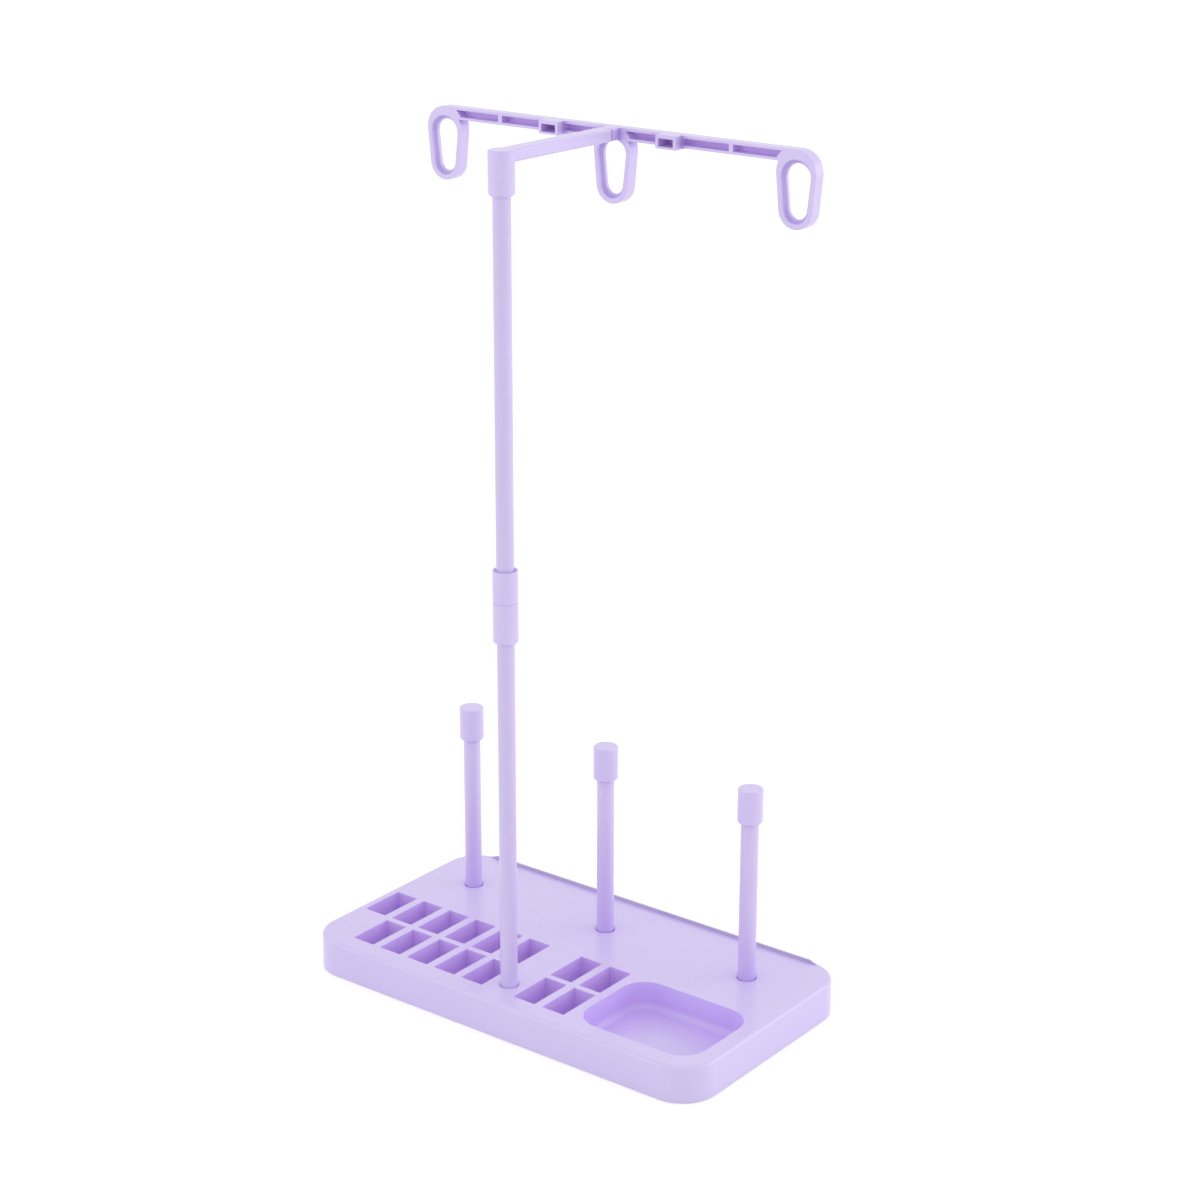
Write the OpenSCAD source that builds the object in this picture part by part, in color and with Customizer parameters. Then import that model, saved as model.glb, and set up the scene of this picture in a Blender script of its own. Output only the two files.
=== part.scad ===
// Thread cone stand: a moulded base with bobbin pockets and a notions tray,
// three spool pins, and a two-piece mast whose arm carries a guide bar with
// three thread loops. The origin is the middle of the base's footprint, on
// the table. The front of the stand faces -Y.

/* [Base] */
// Length of the base, left to right
base_l = 230; // [224:1:290]
// Width of the base, front to back
base_w = 125; // [120:1:160]
// Height of the base
base_h = 18; // [16.5:0.5:26]
// Radius of the four upright corners
corner_r = 18; // [8:1:24]
// Rounding of the top edge
edge_r = 2; // [0.6:0.2:2.2]
// Thickness of the skirt round the sides
skirt_t = 2.4; // [1.8:0.2:3]
// Thickness of the top plate
plate_t = 2.4; // [1.8:0.2:3.2]
// Height of the low rib along the back edge
back_rib_h = 1.7; // [0.6:0.1:2.4]
// Thickness of the low rib along the back edge
back_rib_t = 1; // [0.8:0.1:2.2]
// Distance from the ends of the low rib to the sides of the base
back_rib_margin = 14.5; // [12:0.5:30]
// Thickness of the stiffening ribs under the top plate
stiffener_t = 1.6; // [1.2:0.2:2.4]
// How far the stiffening ribs hang below the top plate
stiffener_h = 8; // [4:0.5:12]

/* [Bobbin pockets] */
// Width of a pocket, for one bobbin on its edge
pocket_w = 12.4; // [11.6:0.1:13]
// Length of a pocket
pocket_l = 23.9; // [21.5:0.1:25]
// Distance from one pocket to the next along a row
pocket_pitch = 17; // [16.2:0.1:17.8]
// Wall between the front row and the back row
row_gap = 3.5; // [3:0.1:5]
// Pockets in the back row, left of the mast
back_count = 6; // [3:1:6]
// Pockets in the front row, left of the mast
front_count = 5; // [2:1:5]
// Pockets in each row, right of the mast
side_count = 2; // [1:1:2]
// Distance from the left edge of the base to the first pocket
side_margin = 4.8; // [4.5:0.1:8]
// Distance from the front edge of the base to the front row
front_margin = 10; // [8:0.5:12]
// Clear width between the two groups of pockets, where the mast stands
mast_gap = 19.2; // [18:0.2:22]
// Thickness of the pocket and tray walls under the top plate
cup_t = 1.5; // [1.2:0.1:1.8]
// Thickness of the pocket floors
floor_t = 2.4; // [1.6:0.2:3]

/* [Notions tray] */
// Wall between the last pockets and the tray
tray_gap = 5; // [4.5:0.1:8]
// Distance from the tray to the right edge of the base
tray_margin = 8.5; // [7:0.5:12]
// Depth of the tray
tray_depth = 13.5; // [8:0.5:14]
// Radius of the tray's upright corners
tray_corner_r = 13; // [8:0.5:16]
// Rounding between the tray's walls and its floor
tray_floor_r = 3.5; // [1:0.5:5]

/* [Spool pins] */
// Diameter of a pin
pin_d = 8.4; // [6:0.1:9]
// Distance between neighbouring pins
pin_pitch = 83.6; // [70:0.1:86]
// Distance from the pins' row to the back edge of the base
pin_inset = 32.6; // [24:0.2:40]
// Length of a pin between the base and its cap
pin_reach = 78.6; // [50:0.2:120]
// Diameter of a cap
cap_d = 11.9; // [11.1:0.1:14]
// Height of a cap
cap_h = 17.2; // [14:0.2:25]
// How far a pin reaches into its cap
cap_seat = 13; // [8:0.5:13]

/* [Mast] */
// Diameter of the mast's two poles
pole_d = 8.1; // [7:0.1:9]
// Wall of the mast's two poles
pole_wall = 1.6; // [1:0.1:2.4]
// Distance from the front edge of the base to the mast's axis
mast_inset = 18.6; // [14:0.2:24]
// Length of the lower pole between the base and the coupling
lower_reach = 169; // [100:1:220]
// Length of the upper pole between the coupling and the arm
upper_reach = 166; // [100:1:220]
// Diameter of the coupling's two collars
collar_d = 11.6; // [11:0.1:14]
// Height of the lower collar
lower_collar_h = 19.6; // [18.5:0.1:26]
// Height of the upper collar
upper_collar_h = 15; // [12.5:0.5:22]
// How far a pole reaches into its collar
pole_seat = 9.5; // [7:0.5:10]
// Diameter of the upper collar's spigot
spigot_d = 7.4; // [6:0.1:8.4]
// Length of the upper collar's spigot
spigot_l = 7; // [4:0.5:7.5]

/* [Arm and guide bar] */
// Diameter of the arm's socket
arm_socket_d = 11.7; // [11:0.1:14]
// Height of the arm's socket
arm_socket_h = 19.8; // [18:0.2:26]
// How far the upper pole reaches into the arm's socket
arm_seat = 15.5; // [10:0.5:16]
// Width of the arm
arm_w = 8.2; // [7:0.1:9]
// Height of the arm and of the guide bar
bar_h = 5.6; // [5.2:0.1:6.4]
// Distance from the mast's axis to the end of the arm
arm_reach = 71.1; // [50:0.1:76]
// Rounding of the arm's long edges
arm_edge_r = 0.9; // [0.3:0.1:1.2]
// Width of the tenon on the arm's end
tenon_w = 5.6; // [4:0.1:6]
// Height of the tenon on the arm's end
tenon_h = 3; // [2.2:0.1:3.2]
// Length of the tenon on the arm's end
tenon_l = 7; // [4:0.5:8]
// Thickness of the guide bar, front to back
bar_t = 6.2; // [5.4:0.1:8]
// Thickness of the web behind the guide bar's channel
bar_web_t = 2; // [1.2:0.1:3]
// Thickness of the channel's upper and lower flange
flange_t = 1.35; // [1:0.05:1.6]
// Distance from the middle of the guide bar to its outer loops
loop_pitch = 97.5; // [92:0.5:106]
// Distance from the middle of the guide bar to a cross rib
cross_rib_x = 64; // [58:0.5:72]
// Distance from the middle of the guide bar to a side boss
side_boss_x = 32.5; // [28:0.5:36]
// Width of the channel's cross ribs
cross_rib_w = 2.5; // [1.5:0.1:4]
// How far the three bosses stand in front of the bar
boss_proud = 4.4; // [2.5:0.1:6]
// Width of the two square-mouthed bosses
side_boss_w = 11; // [10:0.1:13]
// How far the side bosses and their mouths hang lower than the bar
side_boss_drop = 0.6; // [0:0.1:1.2]
// Width of the mouth in a side boss
mouth_w = 7.6; // [5:0.1:8]
// Height of the mouth in a side boss
mouth_h = 3.3; // [2.4:0.1:3.6]
// Depth of the mouth in a side boss
mouth_depth = 8; // [4:0.5:8]

/* [Thread loops] */
// Radius of a loop at its top
loop_top_r = 10.15; // [9.5:0.05:12]
// Radius of a loop at its bottom
loop_bottom_r = 8.65; // [7.5:0.05:9.4]
// Height of a loop, from the top of the bar
loop_h = 34.2; // [28:0.2:45]
// Width of the rim round a loop
loop_rim_w = 2.5; // [1.6:0.1:3]
// Width of the thin web between the rim and the thread hole
loop_web_w = 1.6; // [1:0.1:3]
// Thickness of the thin web, half way through the rim
loop_web_t = 2; // [1:0.1:3]
// How far the thread hole's head lies below the head of the loop
loop_head = 2; // [0.5:0.1:3]
// Shoulder between a loop and the bar's channel
loop_shoulder = 1.5; // [0.8:0.1:3]

/* [Fits] */
// Clearance round a shaft that turns or slides in its socket
running_gap = 0.05; // [0.02:0.01:0.1]
// Gap between the end of a shaft and the bottom of its socket
seat_gap = 0.2; // [0.1:0.05:0.4]
// Gap between the end of the arm and the guide bar's middle boss
seam_gap = 1; // [0.2:0.1:1.4]
// Wall of the sockets under the top plate
boss_wall = 2.3; // [1.6:0.1:2.6]
// Width of the countersink round a socket's mouth
sink_w = 1.3; // [0.6:0.1:1.6]
// Depth of the countersink
sink_h = 0.8; // [0.4:0.1:1.4]
// Chamfer on the ends of the caps and collars
end_chamfer = 1.2; // [0.4:0.1:1.4]
// Small chamfer on the seam between the collars and on the tops
seam_chamfer = 0.4; // [0.2:0.05:0.6]

/* [Hidden] */
$fn = 96;
lilac = [0.84, 0.79, 0.94];
pale_lilac = [0.87, 0.83, 0.96];
// Overrun of every cut past the face that it opens
cut = 1;

// Places along the base, left to right
left_x = -base_l / 2;
right_x = base_l / 2;
front_y = -base_w / 2;
back_y = base_w / 2;
first_pocket_x = left_x + side_margin;
group_l = (back_count - 1) * pocket_pitch + pocket_w;
mast_x = first_pocket_x + group_l + mast_gap / 2;
side_group_x = mast_x + mast_gap / 2;
side_group_l = (side_count - 1) * pocket_pitch + pocket_w;
tray_x = side_group_x + side_group_l + tray_gap;
tray_l = right_x - tray_margin - tray_x;

// Places across the base, front to back
front_row_y = front_y + front_margin;
back_row_y = front_row_y + pocket_l + row_gap;
rows_w = 2 * pocket_l + row_gap;
mast_y = front_y + mast_inset;
pins_y = back_y - pin_inset;

// Depths and heights in the base
under_h = base_h - plate_t;
pocket_depth = base_h - floor_t;
socket_depth = base_h - floor_t;

// Heights along a pin
pin_foot_z = base_h - socket_depth + seat_gap;
cap_z = base_h + pin_reach;

// Heights along the mast
pole_foot_z = base_h - socket_depth + seat_gap;
lower_collar_z = base_h + lower_reach;
upper_collar_z = lower_collar_z + lower_collar_h;
upper_pole_z = upper_collar_z + upper_collar_h - pole_seat;
arm_socket_z = upper_collar_z + upper_collar_h + upper_reach;
top_z = arm_socket_z + arm_socket_h;

// Places along the arm and in the guide bar
arm_end_y = mast_y + arm_reach;
boss_y = arm_end_y + seam_gap;
bar_y = boss_y + boss_proud;
bar_back_y = bar_y + bar_t;
loop_z = top_z - loop_top_r;
loop_drop = loop_h - loop_top_r - loop_bottom_r;
hole_inset = loop_rim_w + loop_web_w;
loop_recess = (bar_t - loop_web_t) / 2;
// How far a loop's straight sides run inside the tangents
side_tuck = 0.01;

// A rectangle with round corners, centred
module rounded_rect(l, w, r) {
    square([l - 2 * r, w], center = true);
    square([l, w - 2 * r], center = true);
    for (sx = [-1, 1], sy = [-1, 1]) {
        translate([sx * (l / 2 - r), sy * (w / 2 - r)]) circle(r = r);
    }
}

// Half section of a block: upright wall at the given reach, rounded at the top
module edge_section(reach, h, edge) {
    square([reach, h - edge]);
    square([reach - edge, h]);
    translate([reach - edge, h - edge]) circle(r = edge, $fn = 48);
}

// Full section of the same block, both sides rounded at the top
module crown_section(width, h, edge) {
    edge_section(width / 2, h, edge);
    mirror([1, 0]) edge_section(width / 2, h, edge);
}

// A block on the XY plane with round corners and a rounded top edge
module soft_block(l, w, h, corner, edge) {
    for (sx = [-1, 1], sy = [-1, 1]) {
        translate([sx * (l / 2 - corner), sy * (w / 2 - corner), 0])
            rotate_extrude() intersection() {
                edge_section(corner, h, edge);
                square([corner, h]);
            }
    }
    rotate([90, 0, 0]) linear_extrude(w - 2 * corner, center = true) crown_section(l, h, edge);
    rotate([90, 0, 90]) linear_extrude(l - 2 * corner, center = true) crown_section(w, h, edge);
}

// A cylinder on the XY plane with a chamfer at each end
module chamfered_rod(d, h, low, high) {
    rotate_extrude() polygon([
        [0, 0], [d / 2 - low, 0], [d / 2, low],
        [d / 2, h - high], [d / 2 - high, h], [0, h]
    ]);
}

// A hole down from z = 0 with a countersunk mouth
module sink_hole(d, depth) {
    translate([0, 0, -depth]) cylinder(d = d, h = depth + cut);
    translate([0, 0, -sink_h]) cylinder(r1 = d / 2, r2 = d / 2 + sink_w, h = sink_h);
    cylinder(r = d / 2 + sink_w, h = cut);
}

// Draws its child once at each pocket, at the pocket's front left corner;
// the row is 0 in front and 1 behind
module at_pockets(row) {
    columns = row == 1 ? back_count : front_count;
    for (i = [0 : columns - 1]) {
        translate([first_pocket_x + (back_count - 1 - i) * pocket_pitch, row == 1 ? back_row_y : front_row_y])
            children();
    }
    for (i = [0 : side_count - 1]) {
        translate([side_group_x + i * pocket_pitch, row == 1 ? back_row_y : front_row_y])
            children();
    }
}

// The cups of one row under the plate: each closes the wall to the other row
module pocket_cups(row) {
    inner = row_gap / 2;
    low = row == 1 ? inner : cup_t;
    high = row == 1 ? cup_t : inner;
    at_pockets(row) translate([-cup_t, -low, 0])
        cube([pocket_w + 2 * cup_t, pocket_l + low + high, under_h + plate_t / 2]);
}

module pocket_cuts(row) {
    at_pockets(row) translate([0, 0, base_h - pocket_depth])
        cube([pocket_w, pocket_l, pocket_depth + cut]);
}

// The tray's hollow, upside down so that its rounded edge is at the floor
module tray_hollow(grow) {
    translate([tray_x + tray_l / 2, front_row_y + rows_w / 2, base_h])
        mirror([0, 0, 1])
            soft_block(tray_l + 2 * grow, rows_w + 2 * grow, tray_depth + grow,
                tray_corner_r + grow, tray_floor_r + grow);
}

module tray_cut() {
    tray_hollow(0);
    translate([tray_x + tray_l / 2, front_row_y + rows_w / 2, base_h])
        linear_extrude(cut) rounded_rect(tray_l, rows_w, tray_corner_r);
}

// Draws its child at the foot of each pin
module at_pins() {
    for (i = [-1 : 1]) translate([mast_x + i * pin_pitch, pins_y, 0]) children();
}

// The hanging bosses that hold the pins and the mast
module socket_boss(d) {
    cylinder(d = d + 2 * boss_wall, h = under_h + plate_t / 2);
}

// Ribs under the plate: one along the pins' row, and one from each boss to the skirt
module stiffeners() {
    top = under_h + plate_t / 2;
    rib_z = under_h - stiffener_h;
    inside_l = base_l - skirt_t;
    translate([-inside_l / 2, pins_y - stiffener_t / 2, rib_z])
        cube([inside_l, stiffener_t, top - rib_z]);
    at_pins() translate([-stiffener_t / 2, 0, rib_z])
        cube([stiffener_t, pin_inset - skirt_t / 2, top - rib_z]);
    translate([mast_x - stiffener_t / 2, front_y + skirt_t / 2, rib_z])
        cube([stiffener_t, mast_inset - skirt_t / 2, top - rib_z]);
}

// The low rib along the back edge, with round ends
module back_rib() {
    run = base_l - 2 * back_rib_margin - back_rib_t;
    translate([0, back_y - edge_r - back_rib_t / 2, base_h - plate_t / 2])
        linear_extrude(plate_t / 2 + back_rib_h) {
            square([run, back_rib_t], center = true);
            for (side = [-1, 1]) translate([side * run / 2, 0]) circle(d = back_rib_t);
        }
}

module base() {
    color(lilac) difference() {
        union() {
            difference() {
                soft_block(base_l, base_w, base_h, corner_r, edge_r);
                translate([0, 0, -cut]) linear_extrude(under_h + cut)
                    rounded_rect(base_l - 2 * skirt_t, base_w - 2 * skirt_t, corner_r - skirt_t);
            }
            back_rib();
            pocket_cups(0);
            pocket_cups(1);
            tray_hollow(cup_t);
            stiffeners();
            at_pins() socket_boss(pin_d);
            translate([mast_x, mast_y, 0]) socket_boss(pole_d);
        }
        pocket_cuts(0);
        pocket_cuts(1);
        tray_cut();
        translate([0, 0, base_h]) {
            at_pins() sink_hole(pin_d + 2 * running_gap, socket_depth);
            translate([mast_x, mast_y, 0]) sink_hole(pole_d + 2 * running_gap, socket_depth);
        }
    }
}

module spool_pin(i) {
    color(lilac) translate([mast_x + i * pin_pitch, pins_y, pin_foot_z])
        chamfered_rod(pin_d, cap_z + cap_seat - pin_foot_z, seam_chamfer, seam_chamfer);
}

// A push-on cap: a sleeve closed at the top
module pin_cap(i) {
    color(pale_lilac) translate([mast_x + i * pin_pitch, pins_y, cap_z]) difference() {
        chamfered_rod(cap_d, cap_h, end_chamfer, seam_chamfer);
        translate([0, 0, -cut]) cylinder(d = pin_d + 2 * running_gap, h = cap_seat + cut);
    }
}

module pole(z, h) {
    color(pale_lilac) translate([mast_x, mast_y, z]) difference() {
        cylinder(d = pole_d, h = h);
        translate([0, 0, -cut]) cylinder(d = pole_d - 2 * pole_wall, h = h + 2 * cut);
    }
}

module lower_pole() {
    pole(pole_foot_z, lower_collar_z + pole_seat - pole_foot_z);
}

// The coupling's lower half: the pole from below, the spigot from above
module lower_collar() {
    color(lilac) translate([mast_x, mast_y, lower_collar_z]) difference() {
        chamfered_rod(collar_d, lower_collar_h, end_chamfer, seam_chamfer);
        translate([0, 0, -cut]) cylinder(d = pole_d + 2 * running_gap, h = pole_seat + cut);
        translate([0, 0, lower_collar_h - spigot_l - seat_gap])
            cylinder(d = spigot_d + 2 * running_gap, h = spigot_l + seat_gap + cut);
    }
}

// The coupling's upper half: a spigot below, the pole from above
module upper_collar() {
    color(lilac) translate([mast_x, mast_y, upper_collar_z]) {
        difference() {
            chamfered_rod(collar_d, upper_collar_h, seam_chamfer, seam_chamfer);
            translate([0, 0, upper_collar_h]) {
                translate([0, 0, -pole_seat]) cylinder(d = pole_d + 2 * running_gap, h = pole_seat + cut);
                translate([0, 0, -end_chamfer])
                    cylinder(r1 = pole_d / 2 + running_gap, r2 = pole_d / 2 + end_chamfer, h = end_chamfer);
            }
        }
        translate([0, 0, -spigot_l])
            chamfered_rod(spigot_d, spigot_l + pole_seat / 4, seam_chamfer, seam_chamfer);
    }
}

module upper_pole() {
    pole(upper_pole_z, arm_socket_z + arm_seat - seat_gap - upper_pole_z);
}

// The arm: a socket over the pole, a bar flush with its top, and a tenon
module top_arm() {
    color(pale_lilac) translate([mast_x, mast_y, 0]) {
        difference() {
            union() {
                translate([0, 0, arm_socket_z])
                    chamfered_rod(arm_socket_d, arm_socket_h, end_chamfer, seam_chamfer);
                translate([0, arm_reach, top_z - bar_h / 2]) rotate([90, 0, 0])
                    linear_extrude(arm_reach) rounded_rect(arm_w, bar_h, arm_edge_r);
            }
            translate([0, 0, arm_socket_z - cut])
                cylinder(d = pole_d + 2 * running_gap, h = arm_seat + cut);
        }
        translate([0, arm_reach + tenon_l, top_z - bar_h / 2]) rotate([90, 0, 0])
            linear_extrude(tenon_l + arm_edge_r) square([tenon_w, tenon_h], center = true);
    }
}

// Two round ends, the larger on top, joined by straight sides, shrunk by inset and
// with the top one lowered by head; the sides cross the circles just inside the tangents
module drop_outline(inset, head = 0) {
    top_r = loop_top_r - inset;
    bottom_r = loop_bottom_r - inset;
    lean = asin((top_r - bottom_r) / (loop_drop - head));
    top_side = top_r - side_tuck;
    bottom_side = bottom_r - side_tuck;
    translate([0, -head]) circle(r = top_r);
    translate([0, -loop_drop]) circle(r = bottom_r);
    polygon([
        [top_side * cos(lean), -head - top_side * sin(lean)],
        [bottom_side * cos(lean), -loop_drop - bottom_side * sin(lean)],
        [-bottom_side * cos(lean), -loop_drop - bottom_side * sin(lean)],
        [-top_side * cos(lean), -head - top_side * sin(lean)]
    ]);
}

// Draws its child's outline, given across and up, as a slab behind the plane y
module slab(y, depth) {
    translate([mast_x, y + depth, 0]) rotate([90, 0, 0]) linear_extrude(depth) children();
}

module at_loops() {
    for (i = [-1 : 1]) translate([i * loop_pitch, loop_z]) children();
}

// The channel along the bar's front, stopped at the loops, ribs and bosses
module channel_outline() {
    difference() {
        translate([-loop_pitch, top_z - bar_h + flange_t]) square([2 * loop_pitch, bar_h - 2 * flange_t]);
        at_loops() drop_outline(-loop_shoulder);
        for (side = [-1, 1]) {
            translate([side * cross_rib_x, top_z - bar_h / 2]) square([cross_rib_w, bar_h], center = true);
            translate([side * side_boss_x, top_z - bar_h / 2]) square([side_boss_w, bar_h], center = true);
        }
    }
}

module bar_outline() {
    translate([-loop_pitch, top_z - bar_h]) square([2 * loop_pitch, bar_h]);
    at_loops() drop_outline(0);
}

module guide_bar() {
    color(lilac) difference() {
        union() {
            difference() {
                slab(bar_y, bar_t) bar_outline();
                slab(bar_y - cut, bar_t - bar_web_t + cut) channel_outline();
                slab(bar_y - cut, loop_recess + cut) at_loops() drop_outline(loop_rim_w, loop_head);
            }
            slab(boss_y, boss_proud + bar_t - bar_web_t / 2) {
                translate([0, top_z - bar_h / 2]) rounded_rect(arm_w, bar_h, arm_edge_r);
                for (side = [-1, 1]) {
                    translate([side * side_boss_x - side_boss_w / 2, top_z - bar_h - side_boss_drop])
                        square([side_boss_w, bar_h + side_boss_drop]);
                }
            }
        }
        slab(bar_back_y - loop_recess, loop_recess + cut)
            at_loops() drop_outline(loop_rim_w, loop_head);
        slab(bar_y + loop_recess / 2, bar_t) at_loops() drop_outline(hole_inset, loop_head);
        slab(boss_y - cut, tenon_l + cut) translate([0, top_z - bar_h / 2])
            square([tenon_w + 2 * running_gap, tenon_h + 2 * running_gap], center = true);
        slab(boss_y - cut, mouth_depth + cut) for (side = [-1, 1]) {
            translate([side * side_boss_x, top_z - bar_h / 2 - side_boss_drop])
                square([mouth_w, mouth_h], center = true);
        }
    }
}

base();
lower_pole();
lower_collar();
upper_collar();
upper_pole();
top_arm();
guide_bar();
spool_pin(-1);  // left_pin
spool_pin(0);  // middle_pin
spool_pin(1);  // right_pin
pin_cap(-1);  // left_cap
pin_cap(0);  // middle_cap
pin_cap(1);  // right_cap
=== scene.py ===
import math

import bmesh
import bpy
from mathutils import Matrix, Vector


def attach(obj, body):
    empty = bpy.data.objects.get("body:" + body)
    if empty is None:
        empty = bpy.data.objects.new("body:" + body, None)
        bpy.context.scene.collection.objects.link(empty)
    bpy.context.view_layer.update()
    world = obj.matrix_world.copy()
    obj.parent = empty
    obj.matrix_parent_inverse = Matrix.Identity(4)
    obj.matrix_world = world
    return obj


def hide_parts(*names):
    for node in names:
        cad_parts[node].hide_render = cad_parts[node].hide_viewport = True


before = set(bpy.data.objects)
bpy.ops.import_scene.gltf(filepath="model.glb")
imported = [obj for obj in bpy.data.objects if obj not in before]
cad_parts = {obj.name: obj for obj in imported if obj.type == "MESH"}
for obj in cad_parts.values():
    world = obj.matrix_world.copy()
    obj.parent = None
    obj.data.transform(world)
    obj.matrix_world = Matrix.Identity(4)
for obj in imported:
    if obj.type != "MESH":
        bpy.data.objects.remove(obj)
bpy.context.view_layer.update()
mm = 0.001  # the dictionaries below are in millimetres, Blender works in metres
same = 0.01  # places nearer than this are one place
near = 0.1  # a corner nearer than this lies on the face that is meant
past = 1  # how far a cutter reaches out of what it cuts, and a joined piece into what it joins
roundSides = 72  # sides of a turned piece

stand = {
    "mast": (-3.2, -43.9),  # where the mast stands on the base
    "pinRow": 29.9,  # the pins' distance behind the middle
    "pinPitch": 83.6,
}


# small helpers for working as in the viewport

def deselectAll():
    if bpy.context.object and bpy.context.object.mode != "OBJECT":
        bpy.ops.object.mode_set(mode="OBJECT")
    bpy.ops.object.select_all(action="DESELECT")


def pick(piece):
    deselectAll()
    piece.select_set(True)
    bpy.context.view_layer.objects.active = piece


def startEdit(piece, mode="FACE"):  # FACE, EDGE or VERT
    pick(piece)
    bpy.ops.object.mode_set(mode="EDIT")
    bpy.ops.mesh.select_mode(type=mode)
    bpy.ops.mesh.select_all(action="DESELECT")


def endEdit():
    bpy.ops.mesh.select_all(action="DESELECT")
    bpy.ops.object.mode_set(mode="OBJECT")


def chooseEdges(piece, wanted):
    cage = bmesh.from_edit_mesh(piece.data)
    for edge in cage.edges:
        edge.select_set(wanted(edge.verts[0].co / mm, edge.verts[1].co / mm))
    bmesh.update_edit_mesh(piece.data)


def chooseFaces(piece, wanted):
    cage = bmesh.from_edit_mesh(piece.data)
    for face in cage.faces:
        face.select_set(wanted(face.calc_center_median() / mm, face.normal))
    bmesh.update_edit_mesh(piece.data)


def applyModifier(piece, kind, **settings):
    pick(piece)
    modifier = piece.modifiers.new(kind.title(), kind)
    for key, value in settings.items():
        setattr(modifier, key, value)
    bpy.ops.object.modifier_apply(modifier=modifier.name)


def combine(piece, others, how):  # how is UNION or DIFFERENCE; the others are used up
    for other in others:
        applyModifier(piece, "BOOLEAN", operation=how, solver="EXACT", object=other)
        bpy.data.objects.remove(other)


# joins what the booleans leave doubled, melts flat faces together and drops the shortest edges
def cleanUp(piece, weld=0.004, flat=0.4, short=0.09):
    startEdit(piece, "VERT")
    bpy.ops.mesh.select_all(action="SELECT")
    bpy.ops.mesh.remove_doubles(threshold=weld * mm)
    bpy.ops.mesh.dissolve_limited(angle_limit=math.radians(flat))
    bpy.ops.mesh.dissolve_degenerate(threshold=short * mm)
    cage = bmesh.from_edit_mesh(piece.data)
    strays = [face for face in cage.faces if all(len(edge.link_faces) == 1 for edge in face.edges)]
    bmesh.ops.delete(cage, geom=strays, context="FACES")
    bmesh.update_edit_mesh(piece.data)
    bpy.ops.mesh.normals_make_consistent(inside=False)
    endEdit()


# equal sizes become equal places, to a thousandth, so that flush faces meet without a step
def snapCorners(piece):
    for corner in piece.data.vertices:
        corner.co = [round(value / mm, 3) * mm for value in corner.co]


def addBlock(name, low, high):
    deselectAll()
    middle = [(a + b) / 2 * mm for a, b in zip(low, high)]
    bpy.ops.mesh.primitive_cube_add(size=1, location=middle)
    piece = bpy.context.object
    piece.name = name
    piece.scale = [(b - a) * mm for a, b in zip(low, high)]
    bpy.ops.object.transform_apply(location=True, rotation=True, scale=True)
    snapCorners(piece)
    return piece


# a turned piece: a disc is drawn out along (radius, height) pairs
def turnPiece(name, place, foot, profile):
    deselectAll()
    radius, height = profile[0]
    bpy.ops.mesh.primitive_circle_add(
        vertices=roundSides, radius=radius * mm, fill_type="NGON", location=(0, 0, (foot + height) * mm))
    piece = bpy.context.object
    piece.name = name
    bpy.ops.object.transform_apply(location=True)
    bpy.ops.object.mode_set(mode="EDIT")
    bpy.ops.mesh.select_all(action="SELECT")
    for nextRadius, nextHeight in profile[1:]:
        bpy.ops.mesh.extrude_region_move(
            TRANSFORM_OT_translate={"value": (0, 0, (nextHeight - height) * mm)})
        share = nextRadius / radius
        bpy.ops.transform.resize(value=(share, share, 1))
        radius, height = nextRadius, nextHeight
    bpy.ops.mesh.select_all(action="SELECT")
    bpy.ops.mesh.normals_make_consistent(inside=False)
    endEdit()
    piece.location = (place[0] * mm, place[1] * mm, 0)
    pick(piece)
    bpy.ops.object.transform_apply(location=True)
    return piece


def upright(a, b):
    return abs(a.x - b.x) < same and abs(a.y - b.y) < same and abs(a.z - b.z) > near


def frontToBack(a, b):
    return abs(a.y - b.y) > past


def bevelEdges(piece, wanted, width, segments):
    startEdit(piece, "EDGE")
    chooseEdges(piece, wanted)
    bpy.ops.mesh.bevel(offset=width * mm, segments=segments, profile=0.5)
    endEdit()


# the small radius that every outer moulded edge has
def softenEdges(piece, width, segments=2, sharp=40, smooth=38):
    startEdit(piece, "EDGE")
    cage = bmesh.from_edit_mesh(piece.data)
    for edge in cage.edges:
        outer = len(edge.link_faces) == 2 and edge.is_convex
        edge.select_set(outer and edge.calc_face_angle() > math.radians(sharp))
    bmesh.update_edit_mesh(piece.data)
    bpy.ops.mesh.bevel(offset=width * mm, segments=segments, profile=0.5, clamp_overlap=False)
    bpy.ops.mesh.select_all(action="SELECT")
    bpy.ops.mesh.remove_doubles(threshold=same * mm)  # a crumb on its rim can fold a long face over
    endEdit()
    bpy.ops.object.shade_smooth_by_angle(angle=math.radians(smooth))
    applyModifier(piece, "WEIGHTED_NORMAL", weight=50, keep_sharp=True)  # flat faces shade flat


def place(piece, name, node, body, slot, material):
    piece.name = name
    piece.data.name = name
    piece.data.materials.clear()
    piece.data.materials.append(material)
    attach(piece, body)
    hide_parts(node)


# camera: the photograph's view, an 80 mm lens looking down from the front right

cameraView = {
    "place": (711.2, -906.0, 593.9), "turn": 37.5, "down": 19.05, "roll": 0.15,
    "lens": 80, "sensor": 36,
}

lens = bpy.data.cameras.new("standCamera")
lens.lens = cameraView["lens"]
lens.sensor_width = cameraView["sensor"]
camera = bpy.data.objects.new("standCamera", lens)
bpy.context.scene.collection.objects.link(camera)
camera.matrix_world = (
    Matrix.Translation(Vector(cameraView["place"]) * mm)
    @ Matrix.Rotation(math.radians(cameraView["turn"]), 4, "Z")
    @ Matrix.Rotation(math.radians(90 - cameraView["down"]), 4, "X")
    @ Matrix.Rotation(math.radians(cameraView["roll"]), 4, "Z")
)
bpy.context.scene.camera = camera
print("camera set")


# lilac plastic, in one recipe with a look for each kind of piece

noiseSpan = (0.3, 0.7)  # nearly all of a noise's values lie between these


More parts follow.
